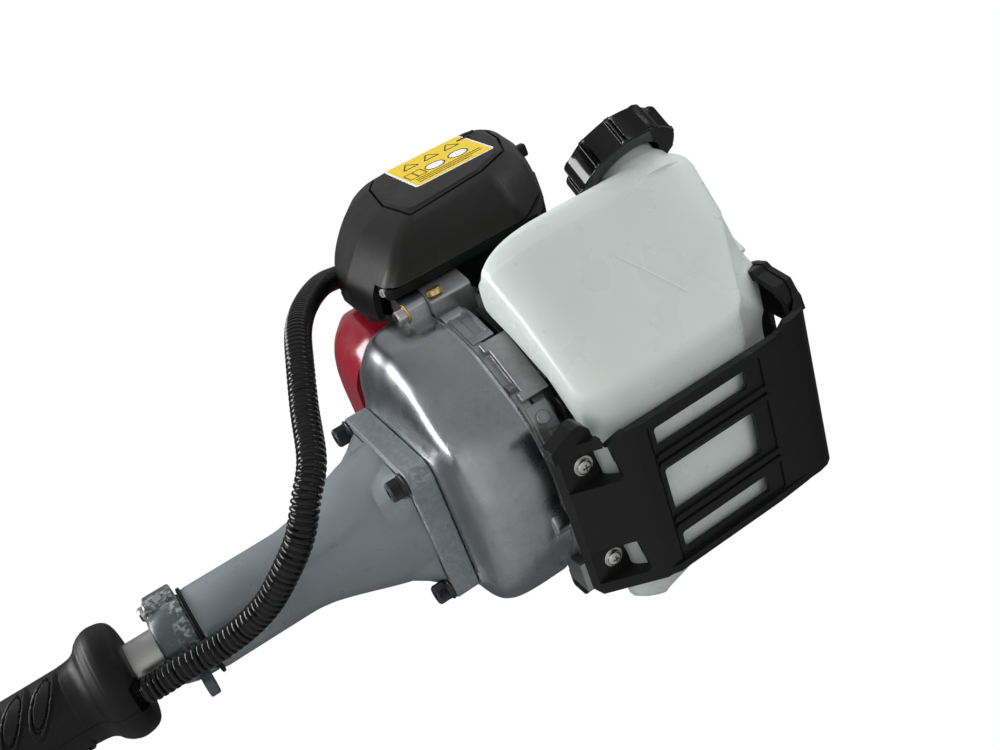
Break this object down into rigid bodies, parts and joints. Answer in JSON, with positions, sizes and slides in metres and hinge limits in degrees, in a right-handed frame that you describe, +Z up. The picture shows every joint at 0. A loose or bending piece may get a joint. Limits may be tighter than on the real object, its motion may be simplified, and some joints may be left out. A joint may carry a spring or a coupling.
{
  "type": "hand-held power trowel",
  "caption": "Pole-mounted concrete trowel: small four-stroke engine and grip on top, worm-geared rotor with pivoting steel blades inside a guard ring at the bottom.",
  "frame": {"origin": "on the ground at the middle of the whole tool outline, so the rotor axis stands at x = -503.53 mm", "axes": "+Z up along the rotor axis, +X horizontal towards the engine end of the pole, +Y completes a right-handed frame"},
  "size_m": [1.661, 0.654, 1.2207],
  "materials": {
    "cast_aluminium": "as cast, tumbled",
    "dark_casting": "as cast, matt",
    "steel": "ground",
    "black_oxide": "black oxide",
    "zinc": "zinc plated",
    "grey_paint": "satin grey paint",
    "clamp_paint": "dark grey-green hammer paint",
    "tube": "anodised",
    "rubber": "moulded, matt",
    "black_plastic": "moulded, satin",
    "gloss_black": "gloss",
    "charcoal": "fine texture",
    "tank_white": "translucent, blow moulded",
    "red_plastic": "gloss",
    "foam": "open cell foam",
    "bronze": "machined",
    "friction": "friction lining",
    "blade_steel": "ground, worn",
    "ring_paint": "gloss enamel",
    "gearbox_paint": "painted casting",
    "ceramic": "glazed ceramic",
    "red_rubber": "moulded",
    "clear_rubber": "clear soft plastic"
  },
  "bodies": {
    "chassis": {"fan_cover": "cast_aluminium", "crankcase": "cast_aluminium", "cylinder_block": "dark_casting", "drum_bearing": "steel", "top_shroud": "red_plastic", "spark_plug": "ceramic", "plug_cap": "rubber", "muffler": "dark_casting", "muffler_guard": "black_plastic", "carburetor": "dark_casting", "air_cleaner_base": "black_plastic", "air_filter": "foam", "air_cleaner_cover": "charcoal", "recoil_housing": "black_plastic", "fuel_tank": "tank_white", "tank_guard": "black_plastic", "guard_screw_1": "zinc", "guard_screw_2": "zinc", "adapter_housing": "grey_paint", "flange_bolt_1": "black_oxide", "flange_bolt_2": "black_oxide", "flange_bolt_3": "black_oxide", "flange_bolt_4": "black_oxide", "isolator_ring": "rubber", "pole_clamp": "clamp_paint", "pole_tube": "tube", "throttle_conduit": "gloss_black", "grip_left": "rubber", "grip_right": "rubber", "front_handle": "rubber", "handle_clamp": "black_plastic", "gearbox_housing": "gearbox_paint", "guard_ring": "ring_paint"},
    "crank": {"crankshaft_front": "steel", "crankshaft_rear": "steel", "flywheel": "dark_casting"},
    "shoe_1": {"clutch_shoe_1": "friction"},
    "shoe_2": {"clutch_shoe_2": "friction"},
    "piston_rod": {"piston": "steel", "connecting_rod": "steel"},
    "drive_line": {"clutch_drum": "steel", "drive_shaft": "steel"},
    "worm": {"worm_shaft": "steel"},
    "rotor": {"rotor_spider": "dark_casting", "output_shaft": "steel", "worm_wheel": "bronze"},
    "blade_1": {"trowel_blade_1": "blade_steel"},
    "blade_2": {"trowel_blade_2": "blade_steel"},
    "blade_3": {"trowel_blade_3": "blade_steel"},
    "blade_4": {"trowel_blade_4": "blade_steel"},
    "pitch_control": {"pitch_knob": "black_plastic"},
    "trigger": {"throttle_trigger": "black_plastic"},
    "lockout": {"lockout_lever": "black_plastic"},
    "switch": {"stop_switch": "red_rubber"},
    "choke": {"choke_lever": "black_plastic"},
    "primer": {"primer_bulb": "clear_rubber"},
    "fuel_cap": {"tank_cap": "gloss_black"},
    "oil_cap": {"oil_filler_cap": "black_plastic"},
    "starter_pulley": {"recoil_pulley": "black_plastic"},
    "starter_handle": {"recoil_handle": "black_plastic"}
  },
  "joints": [
    {"name": "rotor_spin", "type": "hinge", "parent": "chassis", "child": "rotor", "pos_m": [-0.50353, 0, 0.1], "axis": [0, 0, 1], "continuous": true},
    {"name": "worm_spin", "type": "hinge", "parent": "chassis", "child": "worm", "pos_m": [-0.50353, -0.039, 0.132], "axis": [1, 0, 0], "continuous": true},
    {"name": "drive_spin", "type": "hinge", "parent": "chassis", "child": "drive_line", "pos_m": [0.63093, -0.039, 1.0319], "axis": [0.766, 0, 0.6428], "continuous": true},
    {"name": "crank_spin", "type": "hinge", "parent": "chassis", "child": "crank", "pos_m": [0.63093, -0.039, 1.0319], "axis": [0.766, 0, 0.6428], "continuous": true},
    {"name": "shoe_1_swing", "type": "hinge", "parent": "crank", "child": "shoe_1", "pos_m": [0.61872, -0.039, 1.04646], "axis": [0.766, 0, 0.6428], "range_deg": [0, 2]},
    {"name": "shoe_2_swing", "type": "hinge", "parent": "crank", "child": "shoe_2", "pos_m": [0.64314, -0.039, 1.01735], "axis": [0.766, 0, 0.6428], "range_deg": [0, 2]},
    {"name": "piston_stroke", "type": "slide", "parent": "chassis", "child": "piston_rod", "axis": [-0.6428, 0, 0.766], "range_m": [-0.03, 0]},
    {"name": "blade_1_pitch", "type": "hinge", "parent": "rotor", "child": "blade_1", "pos_m": [-0.40353, 0, 0.027], "axis": [1, 0, 0], "range_deg": [0, 12]},
    {"name": "blade_2_pitch", "type": "hinge", "parent": "rotor", "child": "blade_2", "pos_m": [-0.50353, 0.1, 0.027], "axis": [0, 1, 0], "range_deg": [0, 12]},
    {"name": "blade_3_pitch", "type": "hinge", "parent": "rotor", "child": "blade_3", "pos_m": [-0.60353, 0, 0.027], "axis": [-1, 0, 0], "range_deg": [0, 12]},
    {"name": "blade_4_pitch", "type": "hinge", "parent": "rotor", "child": "blade_4", "pos_m": [-0.50353, -0.1, 0.027], "axis": [0, -1, 0], "range_deg": [0, 12]},
    {"name": "pitch_knob_turn", "type": "hinge", "parent": "chassis", "child": "pitch_control", "pos_m": [-0.50353, 0, 0.17], "axis": [0, 0, 1], "range_deg": [0, 720]},
    {"name": "trigger_squeeze", "type": "hinge", "parent": "chassis", "child": "trigger", "pos_m": [0.42942, -0.039, 0.83801], "axis": [0, -1, 0], "range_deg": [-14, 0]},
    {"name": "lockout_press", "type": "hinge", "parent": "chassis", "child": "lockout", "pos_m": [0.39945, -0.039, 0.86051], "axis": [0, -1, 0], "range_deg": [0, 9]},
    {"name": "stop_switch_slide", "type": "slide", "parent": "chassis", "child": "switch", "axis": [0.766, 0, 0.6428], "range_m": [0, 0.004]},
    {"name": "choke_turn", "type": "hinge", "parent": "chassis", "child": "choke", "pos_m": [0.66481, -0.099, 1.15954], "axis": [0.766, 0, 0.6428], "range_deg": [-45, 0]},
    {"name": "primer_press", "type": "slide", "parent": "chassis", "child": "primer", "axis": [-0.6428, 0, 0.766], "range_m": [0, 0.005]},
    {"name": "tank_cap_unscrew", "type": "hinge", "parent": "chassis", "child": "fuel_cap", "pos_m": [0.76083, -0.1465, 1.12523], "axis": [-0.484, -0.658, 0.5768], "range_deg": [0, 540]},
    {"name": "oil_cap_unscrew", "type": "hinge", "parent": "chassis", "child": "oil_cap", "pos_m": [0.70655, -0.103, 1.08491], "axis": [0, -1, 0], "range_deg": [0, 720]},
    {"name": "starter_pulley_turn", "type": "hinge", "parent": "chassis", "child": "starter_pulley", "pos_m": [0.73358, -0.039, 1.11804], "axis": [0.766, 0, 0.6428], "range_deg": [0, 1480]},
    {"name": "starter_pull", "type": "slide", "parent": "chassis", "child": "starter_handle", "axis": [0, 1, 0], "range_m": [0, 0.8]}
  ],
  "couplings": [
    {"joint": "worm_spin", "follows": "rotor_spin", "ratio": 28},
    {"joint": "drive_spin", "follows": "rotor_spin", "ratio": 28},
    {"joint": "shoe_2_swing", "follows": "shoe_1_swing", "ratio": 1},
    {"joint": "blade_2_pitch", "follows": "blade_1_pitch", "ratio": 1},
    {"joint": "blade_3_pitch", "follows": "blade_1_pitch", "ratio": 1},
    {"joint": "blade_4_pitch", "follows": "blade_1_pitch", "ratio": 1},
    {"joint": "pitch_knob_turn", "follows": "blade_1_pitch", "ratio": 60},
    {"joint": "starter_pull", "follows": "starter_pulley_turn", "m_per_rad": 0.031}
  ]
}
